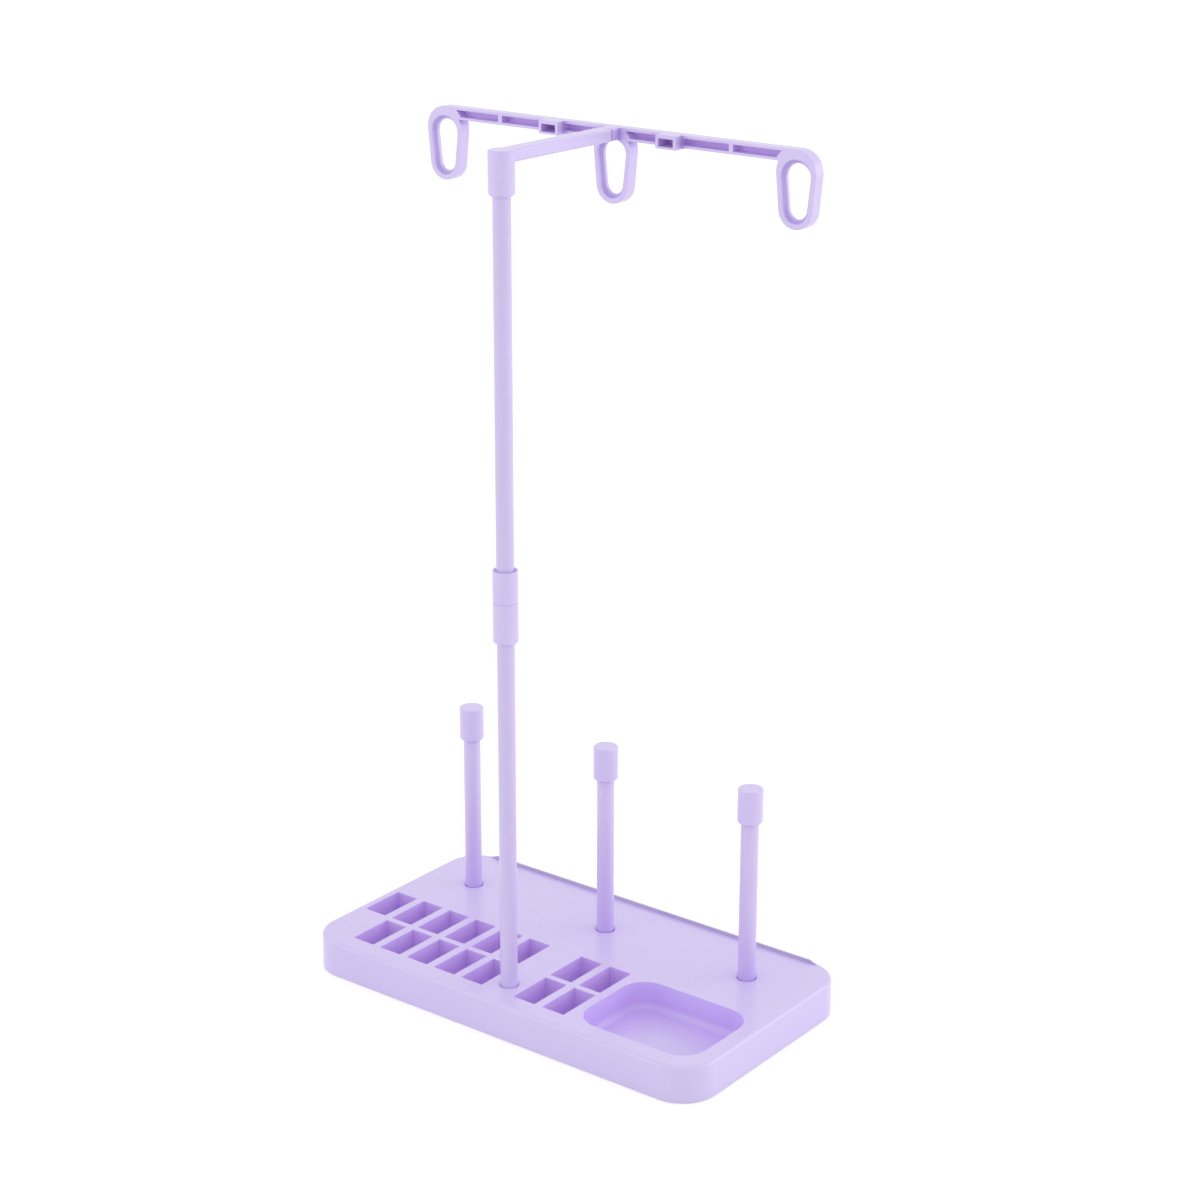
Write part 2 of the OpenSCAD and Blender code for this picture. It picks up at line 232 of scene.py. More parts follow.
def screenColour(red, green, blue):
    def linear(value):
        value = value / 255
        return value / 12.92 if value <= 0.04045 else ((value + 0.055) / 1.055) ** 2.4
    return (linear(red), linear(green), linear(blue), 1)


def lilacPlastic(name, look):
    material = bpy.data.materials.new(name)
    material.use_nodes = True
    nodes, links = material.node_tree.nodes, material.node_tree.links
    shader = nodes["Principled BSDF"]
    shader.inputs["IOR"].default_value = look["refraction"]
    shader.inputs["Coat Weight"].default_value = look["gloss"]
    shader.inputs["Coat Roughness"].default_value = look["glossRoughness"]

    coords = nodes.new("ShaderNodeTexCoord")
    mapping = nodes.new("ShaderNodeMapping")
    mapping.inputs["Scale"].default_value = look["stretch"]
    links.new(coords.outputs["Object"], mapping.inputs["Vector"])

    def noise(size, detail):
        texture = nodes.new("ShaderNodeTexNoise")
        texture.inputs["Scale"].default_value = 1 / (size * mm)
        texture.inputs["Detail"].default_value = detail
        links.new(mapping.outputs["Vector"], texture.inputs["Vector"])
        return texture.outputs["Fac"]

    def remap(value, low, high):
        remapping = nodes.new("ShaderNodeMapRange")
        remapping.inputs["From Min"].default_value, remapping.inputs["From Max"].default_value = noiseSpan
        remapping.inputs["To Min"].default_value, remapping.inputs["To Max"].default_value = low, high
        links.new(value, remapping.inputs["Value"])
        return remapping.outputs["Result"]

    drift = noise(look["driftSize"], detail=3)  # how the pigment drifts in the melt
    speckle = noise(look["speckleSize"], detail=2)
    tint = nodes.new("ShaderNodeMix")
    tint.data_type = "RGBA"
    tint.inputs["A"].default_value = screenColour(*look["deep"])
    tint.inputs["B"].default_value = screenColour(*look["pale"])
    links.new(remap(drift, 0, 1), tint.inputs["Factor"])
    fleck = nodes.new("ShaderNodeHueSaturation")
    links.new(remap(speckle, *look["speckle"]), fleck.inputs["Value"])
    links.new(tint.outputs["Result"], fleck.inputs["Color"])

    hollow = nodes.new("ShaderNodeAmbientOcclusion")  # painted shade: where ambient occlusion finds the plastic facing itself, in hollows and corners, the colour turns deeper and darker
    hollow.only_local = look["onlyItself"]
    hollow.samples = 8
    hollow.inputs["Distance"].default_value = look["hollowReach"] * mm
    openness = nodes.new("ShaderNodeMapRange")
    openness.inputs["From Min"].default_value, openness.inputs["From Max"].default_value = look["hollowRange"]
    links.new(hollow.outputs["AO"], openness.inputs["Value"])
    # painted shade: the hollow and corner tones mixed over the plastic's own colour
    depth = nodes.new("ShaderNodeMix")
    depth.data_type = "RGBA"
    shadeTones = nodes.new("ShaderNodeValToRGB")
    for tone, colour, level in zip(shadeTones.color_ramp.elements, ("hollow", "corner"), look["shadeLevels"]):
        tone.color = screenColour(*look[colour])
        tone.position = level
    links.new(hollow.outputs["AO"], shadeTones.inputs["Fac"])
    links.new(shadeTones.outputs["Color"], depth.inputs["A"])
    links.new(openness.outputs["Result"], depth.inputs["Factor"])
    links.new(fleck.outputs["Color"], depth.inputs["B"])
    links.new(depth.outputs["Result"], shader.inputs["Base Color"])

    sheen = noise(look["sheenSize"], detail=4)
    links.new(remap(sheen, *look["roughness"]), shader.inputs["Roughness"])

    grain = nodes.new("ShaderNodeBump")  # the fine orange peel of the mould
    grain.inputs["Distance"].default_value = look["grainHeight"] * mm
    links.new(noise(look["grainSize"], detail=2), grain.inputs["Height"])
    waves = nodes.new("ShaderNodeBump")  # and the slow waves where thick plastic has sunk
    waves.inputs["Distance"].default_value = look["waveHeight"] * mm
    links.new(noise(look["waveSize"], detail=1), waves.inputs["Height"])
    links.new(grain.outputs["Normal"], waves.inputs["Normal"])
    links.new(waves.outputs["Normal"], shader.inputs["Normal"])
    return material


baseLook = {
    "pale": (219, 205, 249), "deep": (216, 201, 248), "driftSize": 90,  # the two shades that drift
    "speckle": (0.994, 1.006), "speckleSize": 2.4,
    "refraction": 1.49, "roughness": (0.27, 0.31), "sheenSize": 1.6, "gloss": 0.25, "glossRoughness": 0.12,
    "grainSize": 0.8, "grainHeight": 0.004, "waveSize": 40, "waveHeight": 0.012, "stretch": (1, 1, 1),
    # painted shade: the deeper tones that hollows and corners take, and how far and how strongly the
    # occlusion reaches
    "hollow": (226, 197, 255), "corner": (214, 188, 255), "shadeLevels": (0.3, 0.6),
    "hollowReach": 30, "hollowRange": (0.45, 1), "onlyItself": True,
}
mouldedLook = dict(baseLook, driftSize=25, waveSize=16, waveHeight=0.006, roughness=(0.3, 0.35))
tubeLook = dict(
    baseLook, pale=(216, 202, 245), deep=(213, 198, 244), driftSize=9, speckleSize=1.8, sheenSize=1.2,
    grainSize=0.6, stretch=(1, 1, 0.12), roughness=(0.31, 0.37))

basePlastic = lilacPlastic("basePlastic", baseLook)
mouldedPlastic = lilacPlastic("mouldedPlastic", mouldedLook)
capPlastic = lilacPlastic("capPlastic", dict(mouldedLook, driftSize=12))
# painted shade: a darker corner tone in the loops' recesses and the channel
guidePlastic = lilacPlastic("guidePlastic", dict(
    mouldedLook, driftSize=18, hollow=(227, 199, 255), corner=(178, 150, 229),
    hollowReach=7, hollowRange=(0.55, 0.97)))
tubePlastic = lilacPlastic("tubePlastic", tubeLook)
# painted shade: a darker lilac for the back rib's front faces
ribShadePlastic = lilacPlastic("ribShadePlastic", dict(
    baseLook, pale=(198, 188, 223), deep=(194, 184, 220), hollow=(190, 181, 217), corner=(190, 181, 217)))
pinPlastic = lilacPlastic("pinPlastic", dict(  # painted shade: the pins turn darker near the plate too, from occlusion by the base
    tubeLook, pale=(221, 206, 247), deep=(217, 201, 245), hollow=(199, 175, 241), corner=(203, 180, 243),
    hollowReach=60, onlyItself=False))
print("plastics mixed")


# the base: a shell with pockets, a tray and four sockets

baseSizes = {
    "length": 230, "width": 125, "height": 18,
    "cornerRadius": 18, "topRadius": 2, "steps": (20, 5),  # of the corners' and the top edge's rounds
    "skirt": 2.4, "plate": 2.4, "cupWall": 1.5,
    "pocket": (12.4, 23.9, 15.6), "pocketPitch": 17,  # width, length and depth
    "firstPocket": -110.2, "sideGroup": 6.4,  # left sides of the first pockets, left and right of the mast
    "backRow": -25.1, "frontRow": -52.5, "rowOverlap": 0.75,
    "tray": ((40.8, -52.5), (106.5, -1.2), 13.5), "trayCorner": 13, "trayFoot": 3.5,
    "traySteps": (20, 8), "cupSteps": (14, 5),
    "pinHole": 4.25, "mastHole": 4.1, "sink": (1.3, 0.8), "socketDepth": 15.6, "bossWall": 2.3,
    "backRib": (1, 1.7, 14.5),  # thickness, height and distance from the sides
    "ribTaper": (4.5, 3.5),  # how its ends slope, inside and outside that distance
    "stiffener": (1.6, 8),  # thickness and depth
    "edgeRadius": 0.3,
}


def makeBase(sizes):
    halfLength, halfWidth, height = sizes["length"] / 2, sizes["width"] / 2, sizes["height"]
    under = height - sizes["plate"]
    shell = addBlock("standBase", (-halfLength, -halfWidth, 0), (halfLength, halfWidth, height))
    cornerSteps, topSteps = sizes["steps"]
    bevelEdges(shell, upright, sizes["cornerRadius"], cornerSteps)
    bevelEdges(shell, lambda a, b: min(a.z, b.z) > height - near, sizes["topRadius"], topSteps)
    startEdit(shell)
    chooseFaces(shell, lambda centre, normal: normal.z < -0.9)
    bpy.ops.mesh.inset(thickness=sizes["skirt"] * mm, depth=0)
    bpy.ops.mesh.extrude_region_move(TRANSFORM_OT_translate={"value": (0, 0, under * mm)})
    endEdit()
    print("base shell made")

    # what stands under the plate, and the rib on its back edge
    inPlate = height - sizes["plate"] / 2
    wall, (pocketWidth, pocketLength, pocketDepth) = sizes["cupWall"], sizes["pocket"]
    frontY, backY = sizes["frontRow"], sizes["backRow"]
    lefts = [sizes["firstPocket"] + i * sizes["pocketPitch"] for i in range(6)]
    lefts += [sizes["sideGroup"] + i * sizes["pocketPitch"] for i in range(2)]
    rows = {frontY: lefts[1:], backY: lefts}  # the front row has one pocket less
    between = (frontY + pocketLength + backY) / 2  # the middle of the web that parts the rows
    cups = {frontY: (frontY - wall, between + sizes["rowOverlap"]),
            backY: (between, backY + pocketLength + wall)}
    added = []
    for rowY, (low, high) in cups.items():
        for left in rows[rowY]:
            added.append(addBlock("cup", (left - wall, low, 0), (left + pocketWidth + wall, high, inPlate)))
    (trayLeft, trayFront), (trayRight, trayBack), trayDepth = sizes["tray"]
    trayCup = addBlock("trayCup", (trayLeft - wall, trayFront - wall, height - trayDepth - wall),
                       (trayRight + wall, trayBack + wall, inPlate))
    cupCornerSteps, cupFootSteps = sizes["cupSteps"]
    bevelEdges(trayCup, upright, sizes["trayCorner"] + wall, cupCornerSteps)
    bevelEdges(trayCup, lambda a, b: max(a.z, b.z) < height - trayDepth,
               sizes["trayFoot"] + wall, cupFootSteps)
    added.append(trayCup)
    (mastX, mastY), pinY = stand["mast"], stand["pinRow"]
    pinXs = [mastX + i * stand["pinPitch"] for i in (-1, 0, 1)]
    sockets = [(x, pinY, sizes["pinHole"]) for x in pinXs]
    sockets.append((mastX, mastY, sizes["mastHole"]))
    for x, y, radius in sockets:
        bossRadius = radius + sizes["bossWall"]
        added.append(turnPiece("boss", (x, y), 0, [(bossRadius, 0), (bossRadius, inPlate)]))
    thick, deep = sizes["stiffener"]
    sideX, frontBackY = halfLength - past, halfWidth - past  # the ends of the ribs, in the skirt
    ribs = [((-sideX, pinY - thick / 2), (sideX, pinY + thick / 2)),
            ((mastX - thick / 2, -frontBackY), (mastX + thick / 2, mastY))]
    ribs += [((x - thick / 2, pinY), (x + thick / 2, frontBackY)) for x in pinXs]
    for low, high in ribs:
        added.append(addBlock("stiffener", (*low, under - deep), (*high, inPlate)))
    ribThick, ribHeight, ribMargin = sizes["backRib"]
    ribBack = halfWidth - sizes["topRadius"]
    run = halfLength - ribMargin
    taperIn, taperOut = sizes["ribTaper"]
    backRib = addBlock("backRib", (-run - taperOut, ribBack - ribThick, inPlate),
                       (run + taperOut, ribBack, height + ribHeight))
    startEdit(backRib)
    chooseFaces(backRib, lambda centre, normal: normal.z > 0.9)
    bpy.ops.transform.resize(value=((run - taperIn) / (run + taperOut), 1, 1), center_override=(0, 0, 0))
    endEdit()
    added.append(backRib)
    combine(shell, added, "UNION")
    print("cups, bosses and ribs joined")

    # what is cut from above
    above = height + 5 * past
    cuts = []
    for rowY, rowLefts in rows.items():
        for left in rowLefts:
            cuts.append(addBlock("pocket", (left, rowY, height - pocketDepth),
                                 (left + pocketWidth, rowY + pocketLength, above)))
    tray = addBlock("tray", (trayLeft, trayFront, height - trayDepth), (trayRight, trayBack, above))
    trayCornerSteps, trayFootSteps = sizes["traySteps"]
    bevelEdges(tray, upright, sizes["trayCorner"], trayCornerSteps)
    bevelEdges(tray, lambda a, b: max(a.z, b.z) < height - trayDepth + near, sizes["trayFoot"], trayFootSteps)
    cuts.append(tray)
    sinkWidth, sinkDepth = sizes["sink"]
    for x, y, radius in sockets:
        cuts.append(turnPiece("socket", (x, y), height, [
            (radius, -sizes["socketDepth"]), (radius, -sinkDepth),
            (radius + sinkWidth, 0), (radius + sinkWidth, above - height)]))
    combine(shell, cuts, "DIFFERENCE")
    cleanUp(shell)
    softenEdges(shell, sizes["edgeRadius"])
    print("pockets, tray and sockets cut")
    return shell


standBase = makeBase(baseSizes)
place(standBase, "standBase", "base", "stand_base", "base_plastic", basePlastic)
standBase.data.materials.append(ribShadePlastic)
for face in standBase.data.polygons:  # painted shade: the rib's front faces take the darker plastic
    if face.center.z > (baseSizes["height"] + near) * mm and face.normal.y < -0.1:
        face.material_index = 1


# the spool pins and their caps

pinSizes = {"radius": 4.2, "foot": 2.6, "top": 109.6, "chamfer": 0.4}
capSizes = {
    "radius": 5.95, "foot": 96.6, "height": 17.2, "bore": 4.25, "seat": 13,
    "lowChamfer": 1.2, "highChamfer": 0.4, "edgeRadius": 0.15,
}


def makePin(sizes, spot):
    radius, chamfer, length = sizes["radius"], sizes["chamfer"], sizes["top"] - sizes["foot"]
    pin = turnPiece("spoolPin", spot, sizes["foot"], [
        (radius - chamfer, 0), (radius, chamfer), (radius, length - chamfer), (radius - chamfer, length)])
    softenEdges(pin, chamfer / 3)
    return pin


def makeCap(sizes, spot):
    radius, height, low, high = sizes["radius"], sizes["height"], sizes["lowChamfer"], sizes["highChamfer"]
    cap = turnPiece("spoolCap", spot, sizes["foot"], [
        (sizes["bore"], sizes["seat"]), (sizes["bore"], 0), (radius - low, 0), (radius, low),
        (radius, height - high), (radius - high, height)])
    softenEdges(cap, sizes["edgeRadius"])
    return cap


def copyAlong(piece, name, shift):  # a copy with a mesh of its own
    pick(piece)
    bpy.ops.object.duplicate(linked=False)
    copy = bpy.context.object
    copy.name = name
    bpy.ops.transform.translate(value=(shift * mm, 0, 0))
    bpy.ops.object.transform_apply(location=True)
    return copy


leftSpot = (stand["mast"][0] - stand["pinPitch"], stand["pinRow"])
pins = [makePin(pinSizes, leftSpot)]
caps = [makeCap(capSizes, leftSpot)]
for i in (1, 2):
    pins.append(copyAlong(pins[0], "spoolPin", i * stand["pinPitch"]))
    caps.append(copyAlong(caps[0], "spoolCap", i * stand["pinPitch"]))
for side, pin, cap in zip(("left", "middle", "right"), pins, caps):
    place(pin, side + "SpoolPin", side + "_pin", side + "_spool_pin", "pin_plastic", pinPlastic)
    place(cap, side + "SpoolCap", side + "_cap", side + "_spool_pin", "cap_plastic", capPlastic)
print("spool pins and caps made")


# the mast: two tubes and the coupling between them

mastSizes = {
    "tubeRadius": 4.05, "tubeWall": 1.6,
    "lowerTube": (2.6, 196.5), "upperTube": (212.1, 402.9),
    "collarRadius": 5.8, "bore": 4.1, "seat": 9.5,
    "lowerCollar": (187, 19.6), "upperCollar": (206.6, 15),
    "spigot": (3.7, 7), "spigotBore": (3.75, 7.2),
    "chamfer": 1.2, "seam": 0.22, "edgeRadius": 0.08,
}


def makeTube(name, sizes, ends):
    deselectAll()
    low, high = ends
    bpy.ops.mesh.primitive_circle_add(
        vertices=roundSides, radius=sizes["tubeRadius"] * mm, fill_type="NOTHING",
        location=(stand["mast"][0] * mm, stand["mast"][1] * mm, low * mm))
    tube = bpy.context.object
    tube.name = name
    bpy.ops.object.transform_apply(location=True)
    startEdit(tube, "EDGE")
    bpy.ops.mesh.select_all(action="SELECT")
    bpy.ops.mesh.extrude_region_move(TRANSFORM_OT_translate={"value": (0, 0, (high - low) * mm)})
    bpy.ops.mesh.select_all(action="SELECT")
    bpy.ops.mesh.normals_make_consistent(inside=False)
    endEdit()
    applyModifier(tube, "SOLIDIFY", thickness=sizes["tubeWall"] * mm, offset=-1)
    startEdit(tube)
    bpy.ops.mesh.select_all(action="SELECT")
    bpy.ops.mesh.normals_make_consistent(inside=False)
    endEdit()
    softenEdges(tube, sizes["seam"] / 2)
    return tube


def makeLowerCollar(sizes):
    foot, height = sizes["lowerCollar"]
    radius, chamfer, seam = sizes["collarRadius"], sizes["chamfer"], sizes["seam"]
    spigotRadius, spigotDepth = sizes["spigotBore"]
    collar = turnPiece("lowerCollar", stand["mast"], foot, [
        (sizes["bore"], sizes["seat"]), (sizes["bore"], 0), (radius - chamfer, 0), (radius, chamfer),
        (radius, height - seam), (radius - seam, height),
        (spigotRadius, height), (spigotRadius, height - spigotDepth)])
    softenEdges(collar, sizes["edgeRadius"])
    return collar


def makeUpperCollar(sizes):
    foot, height = sizes["upperCollar"]
    radius, chamfer, seam = sizes["collarRadius"], sizes["chamfer"], sizes["seam"]
    spigotRadius, spigotLength = sizes["spigot"]
    collar = turnPiece("upperCollar", stand["mast"], foot, [
        (spigotRadius - seam, -spigotLength), (spigotRadius, seam - spigotLength), (spigotRadius, 0),
        (radius - seam, 0), (radius, seam), (radius, height - seam), (radius - seam, height),
        (sizes["tubeRadius"] + chamfer, height), (sizes["bore"], height - chamfer),
        (sizes["bore"], height - sizes["seat"])])
    softenEdges(collar, sizes["edgeRadius"])
    return collar


for half in ("lower", "upper"):
    tube = makeTube(half + "Tube", mastSizes, mastSizes[half + "Tube"])
    place(tube, half + "Tube", half + "_pole", half + "_mast", "tube_plastic", tubePlastic)
collars = (makeLowerCollar(mastSizes), makeUpperCollar(mastSizes))
place(collars[0], "lowerCollar", "lower_collar", "lower_mast", "collar_plastic", mouldedPlastic)
place(collars[1], "upperCollar", "upper_collar", "upper_mast", "collar_plastic", mouldedPlastic)
print("mast made")


# the arm on top of the mast

armSizes = {
    "top": 407.4, "socketRadius": 5.85, "socketHeight": 19.8, "bore": 4.1, "seat": 15.5,
    "width": 8.2, "height": 5.6, "reach": 71.1, "edgeRound": 0.9, "roundSteps": 4,
    "tenon": (5.6, 3, 7), "neck": (3.8, 1.4, 1),  # width, height, length
    "chamfer": 1.2, "seam": 0.4, "edgeRadius": 0.15,
}


def makeArm(sizes):
    x, y = stand["mast"]
    top, height, radius = sizes["top"], sizes["height"], sizes["socketRadius"]
    halfWidth, end = sizes["width"] / 2, y + sizes["reach"]
    bar = addBlock("topArm", (x - halfWidth, y, top - height), (x + halfWidth, end, top))
    bevelEdges(bar, frontToBack, sizes["edgeRound"], sizes["roundSteps"])
    midZ = top - height / 2
    tenonWidth, tenonHeight, tenonLength = sizes["tenon"]
    neckWidth, neckHeight, neckLength = sizes["neck"]
    tenon = addBlock("tenon", (x - tenonWidth / 2, end + neckLength, midZ - tenonHeight / 2),
                     (x + tenonWidth / 2, end + tenonLength, midZ + tenonHeight / 2))
    neck = addBlock("neck", (x - neckWidth / 2, end - past, midZ - neckHeight / 2),
                    (x + neckWidth / 2, end + neckLength + past, midZ + neckHeight / 2))
    socketHeight, chamfer, seam = sizes["socketHeight"], sizes["chamfer"], sizes["seam"]
    socket = turnPiece("socket", (x, y), top - socketHeight, [
        (radius - chamfer, 0), (radius, chamfer),
        (radius, socketHeight - seam), (radius - seam, socketHeight)])
    combine(bar, [socket, neck, tenon], "UNION")
    bore = turnPiece("bore", (x, y), top - socketHeight, [
        (sizes["bore"], -5 * past), (sizes["bore"], sizes["seat"])])
    combine(bar, [bore], "DIFFERENCE")
    cleanUp(bar)
    softenEdges(bar, sizes["edgeRadius"])
    return bar


place(makeArm(armSizes), "topArm", "top_arm", "arm", "arm_plastic", mouldedPlastic)
print("arm made")


# the guide bar with its three thread loops

guideSizes = {
    "top": 407.4, "height": 5.6, "front": 32.6, "thick": 6.2, "web": 2,
    "flange": 1.35, "rib": 2.5, "ribPlace": 64, "bossFront": 28.2,
    "sideBoss": 11, "bossPlace": 32.5, "bossDrop": 0.6, "middleBoss": 8.2, "middleRound": 0.9,
    "mouth": (7.6, 3.3, 8),  # width, height, depth
    "mortise": (5.7, 3.1, 7),
    "loopPlace": 97.5, "loopTop": 10.15, "loopBottom": 8.65, "loopDrop": 15.4, "headDrop": 2,
    "rim": 2.5, "thinWeb": 1.6, "webThick": 2, "shoulder": 1.5,
    "rimRound": 0.6, "recessFoot": 0.8, "holeRound": 0.5, "roundSteps": 4, "loopSides": 88,
    "edgeRadius": 0.3,
}


# a loop's outline as a slab from front to back, shrunk by inset and with its head lowered
def addDrop(name, sizes, centreX, inset, front, back, lowered=0):
    deselectAll()
    topRadius, bottomRadius = sizes["loopTop"] - inset, sizes["loopBottom"] - inset
    drop = sizes["loopDrop"] - lowered
    lean = math.asin((topRadius - bottomRadius) / drop)
    centreZ = sizes["top"] - sizes["loopTop"] - lowered
    bpy.ops.mesh.primitive_circle_add(
        vertices=sizes["loopSides"], radius=topRadius * mm, fill_type="NGON",
        rotation=(math.radians(90), 0, 0), location=(centreX * mm, front * mm, centreZ * mm))
    slab = bpy.context.object
    slab.name = name
    bpy.ops.object.transform_apply(location=True, rotation=True)
    startEdit(slab, "VERT")
    cage = bmesh.from_edit_mesh(slab.data)
    line = centreZ - topRadius * math.sin(lean)  # where the head's round ends
    for corner in cage.verts:
        corner.select_set(corner.co.z / mm < line - near / 2)
    bmesh.update_edit_mesh(slab.data)
    share = bottomRadius / topRadius
    headMiddle = (centreX * mm, front * mm, centreZ * mm)
    bpy.ops.transform.resize(value=(share, 1, share), center_override=headMiddle)
    bpy.ops.transform.translate(value=(0, 0, -drop * mm))
    bpy.ops.mesh.select_all(action="SELECT")
    bpy.ops.mesh.extrude_region_move(TRANSFORM_OT_translate={"value": (0, (back - front) * mm, 0)})
    bpy.ops.mesh.select_all(action="SELECT")
    bpy.ops.mesh.normals_make_consistent(inside=False)
    endEdit()
    snapCorners(slab)
    return slab


# how far a point of the front view lies outside that outline
def pastDrop(sizes, point, centreX, inset, lowered):
    topRadius, bottomRadius = sizes["loopTop"] - inset, sizes["loopBottom"] - inset
    drop = sizes["loopDrop"] - lowered
    away = abs(point.x - centreX)
    up = point.z - (sizes["top"] - sizes["loopTop"] - sizes["loopDrop"])
    slope = (bottomRadius - topRadius) / drop
    level = math.sqrt(1 - slope ** 2)
    along = up * level - away * slope
    if along < 0:
        return math.hypot(away, up) - bottomRadius
    if along > level * drop:
        return math.hypot(away, up - drop) - topRadius
    return away * level + up * slope - bottomRadius


# rounds the edges that follow the outline at the given depths
def roundDrops(bar, sizes, centres, inset, lowered, depths, width):
    def onOutline(point):
        if min(abs(point.y - depth) for depth in depths) > same:
            return False
        return min(abs(pastDrop(sizes, point, x, inset, lowered)) for x in centres) < 3 * same
    bevelEdges(bar, lambda a, b: onOutline(a) and onOutline(b) and abs(a.y - b.y) < same,
               width, sizes["roundSteps"])


def makeGuideBar(sizes):
    middleX = stand["mast"][0]
    top, front, back = sizes["top"], sizes["front"], sizes["front"] + sizes["thick"]
    low, midZ = top - sizes["height"], top - sizes["height"] / 2
    loopXs = [middleX + i * sizes["loopPlace"] for i in (-1, 0, 1)]
    bar = addBlock("guideBar", (loopXs[0], front, low), (loopXs[2], back, top))
    combine(bar, [addDrop("loop", sizes, x, 0, front, back) for x in loopXs], "UNION")

    # the channel in the bar's front, kept clear of the loops
    channelBack, flange = back - sizes["web"], sizes["flange"]
    halfRib, halfBoss = sizes["rib"] / 2, sizes["sideBoss"] / 2
    inBoss = halfBoss - near  # the channel runs a little into each boss
    bossX, ribX = sizes["bossPlace"], sizes["ribPlace"]
    runs = []
    for side in (-1, 1):
        stops = [(0, bossX - inBoss), (bossX + inBoss, ribX - halfRib),
                 (ribX + halfRib, sizes["loopPlace"])]
        for start, end in stops:
            left, right = sorted((middleX + side * start, middleX + side * end))
            run = addBlock("run", (left, front - past, low + flange), (right, channelBack, top - flange))
            combine(run, [addDrop("keep", sizes, x, -sizes["shoulder"], front - 3 * past, back + 3 * past)
                          for x in loopXs if min(abs(x - left), abs(x - right)) < near], "DIFFERENCE")
            runs.append(run)
    rim, head = sizes["rim"], sizes["headDrop"]
    recess = (sizes["thick"] - sizes["webThick"]) / 2
    fronts = [addDrop("recess", sizes, x, rim, front - past, front + recess, head) for x in loopXs]
    backs = [addDrop("recess", sizes, x, rim, back - recess, back + past, head) for x in loopXs]
    for cutters, foot in ((fronts, front + recess), (backs, back - recess)):
        for cutter in cutters:
            bevelEdges(cutter, lambda a, b: max(abs(a.y - foot), abs(b.y - foot)) < same,
                       sizes["recessFoot"], sizes["roundSteps"])
    combine(bar, runs + fronts, "DIFFERENCE")
    print("channel and loops cut")

    halfMiddle = sizes["middleBoss"] / 2
    middleBoss = addBlock("middleBoss", (middleX - halfMiddle, sizes["bossFront"], low),
                          (middleX + halfMiddle, back - past, top))
    bevelEdges(middleBoss, frontToBack, sizes["middleRound"], sizes["roundSteps"])
    bosses = [middleBoss]
    for side in (-1, 1):
        x = middleX + side * bossX
        bosses.append(addBlock("sideBoss", (x - halfBoss, sizes["bossFront"], low - sizes["bossDrop"]),
                               (x + halfBoss, back - past, top)))
    combine(bar, bosses, "UNION")

    cuts = backs
    for x in loopXs:
        cuts.append(addDrop("hole", sizes, x, rim + sizes["thinWeb"],
                            front + recess / 2, back - recess / 2, head))
    sideZ = midZ - sizes["bossDrop"]
    mouths = ((middleX, midZ, sizes["mortise"]), (middleX - bossX, sideZ, sizes["mouth"]),
              (middleX + bossX, sideZ, sizes["mouth"]))
    for x, z, (width, height, depth) in mouths:
        cuts.append(addBlock("mouth", (x - width / 2, sizes["bossFront"] - past, z - height / 2),
                             (x + width / 2, sizes["bossFront"] + depth, z + height / 2)))
    combine(bar, cuts, "DIFFERENCE")
    cleanUp(bar, short=0.16)
    webFaces = (front + recess, back - recess)
    roundDrops(bar, sizes, loopXs, rim, head, (front, back), sizes["rimRound"])
    roundDrops(bar, sizes, loopXs, rim + sizes["thinWeb"], head, webFaces, sizes["holeRound"])
    softenEdges(bar, sizes["edgeRadius"])
    return bar


place(makeGuideBar(guideSizes), "guideBar", "guide_bar", "guide", "guide_plastic", guidePlastic)
print("guide bar made")


# a white studio: floor, sky and two soft lamps, in metres

studio = {
    "floorSize": 16, "floorDepth": 0.0002, "floorWhite": 0.86, "floorRoughness": 0.9, "floorGlow": 0.35,
    "sky": 0.87,
    "keyLamp": {"spot": (2.2, 1.9, 0.4), "target": (0, 0, 0.15), "size": 2.4, "power": 27},
    "frontLamp": {"spot": (-2, -2.2, 0.3), "target": (0, 0, 0.05), "size": 2.2, "power": 14},
}
white = (1, 1, 1, 1)


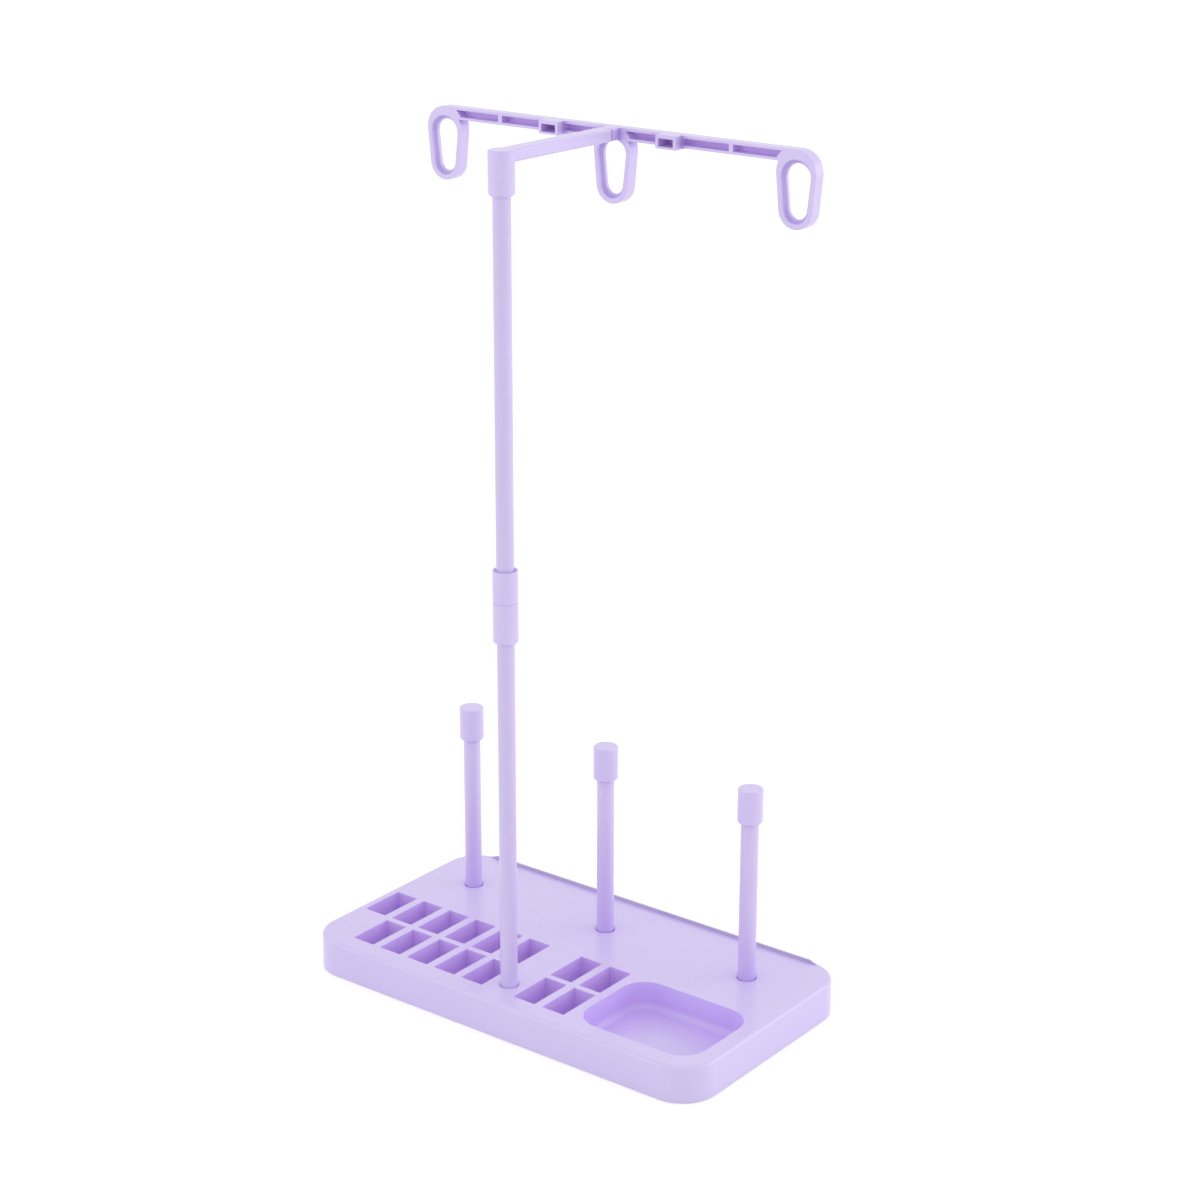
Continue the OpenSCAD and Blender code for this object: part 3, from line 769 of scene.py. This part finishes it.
def seenPlainly(nodes, links):  # 1 for what the camera sees, straight or in a reflection
    path = nodes.new("ShaderNodeLightPath")
    seen = path.outputs["Is Camera Ray"]
    for kind in ("Is Glossy Ray", "Is Transmission Ray"):
        either = nodes.new("ShaderNodeMath")
        either.operation = "MAXIMUM"
        links.new(seen, either.inputs[0])
        links.new(path.outputs[kind], either.inputs[1])
        seen = either.outputs["Value"]
    return seen


def makeFloor():
    deselectAll()
    bpy.ops.mesh.primitive_plane_add(size=studio["floorSize"], location=(0, 0, -studio["floorDepth"]))
    floor = bpy.context.object
    floor.name = "studioFloor"
    material = bpy.data.materials.new("studioWhite")
    material.use_nodes = True
    nodes, links = material.node_tree.nodes, material.node_tree.links
    shader = nodes["Principled BSDF"]
    shader.inputs["Base Color"].default_value = (*[studio["floorWhite"]] * 3, 1)
    shader.inputs["Roughness"].default_value = studio["floorRoughness"]
    shader.inputs["Specular IOR Level"].default_value = 0
    shader.inputs["Emission Color"].default_value = white
    glow = nodes.new("ShaderNodeMath")
    glow.operation = "MULTIPLY"
    glow.inputs[1].default_value = studio["floorGlow"]
    links.new(seenPlainly(nodes, links), glow.inputs[0])
    links.new(glow.outputs["Value"], shader.inputs["Emission Strength"])
    floor.data.materials.append(material)


def makeSky():
    world = bpy.data.worlds.new("studioSky")
    bpy.context.scene.world = world
    world.use_nodes = True
    nodes, links = world.node_tree.nodes, world.node_tree.links
    nodes.clear()
    out = nodes.new("ShaderNodeOutputWorld")
    mix = nodes.new("ShaderNodeMixShader")
    links.new(seenPlainly(nodes, links), mix.inputs["Fac"])
    for i, strength in ((1, studio["sky"]), (2, 1)):  # what lights the stand, and the white that is seen
        background = nodes.new("ShaderNodeBackground")
        background.inputs["Color"].default_value = white
        background.inputs["Strength"].default_value = strength
        links.new(background.outputs["Background"], mix.inputs[i])
    links.new(mix.outputs["Shader"], out.inputs["Surface"])


def addLamp(name, spot, target, size, power):
    light = bpy.data.lights.new(name, "AREA")
    light.size = size
    light.energy = power
    lamp = bpy.data.objects.new(name, light)
    lamp.location = spot
    lamp.rotation_euler = (Vector(target) - Vector(spot)).to_track_quat("-Z", "Y").to_euler()
    bpy.context.scene.collection.objects.link(lamp)


makeFloor()
makeSky()
for name in ("keyLamp", "frontLamp"):
    addLamp(name, **studio[name])
bpy.context.scene.view_settings.view_transform = "Standard"
print("studio lit")
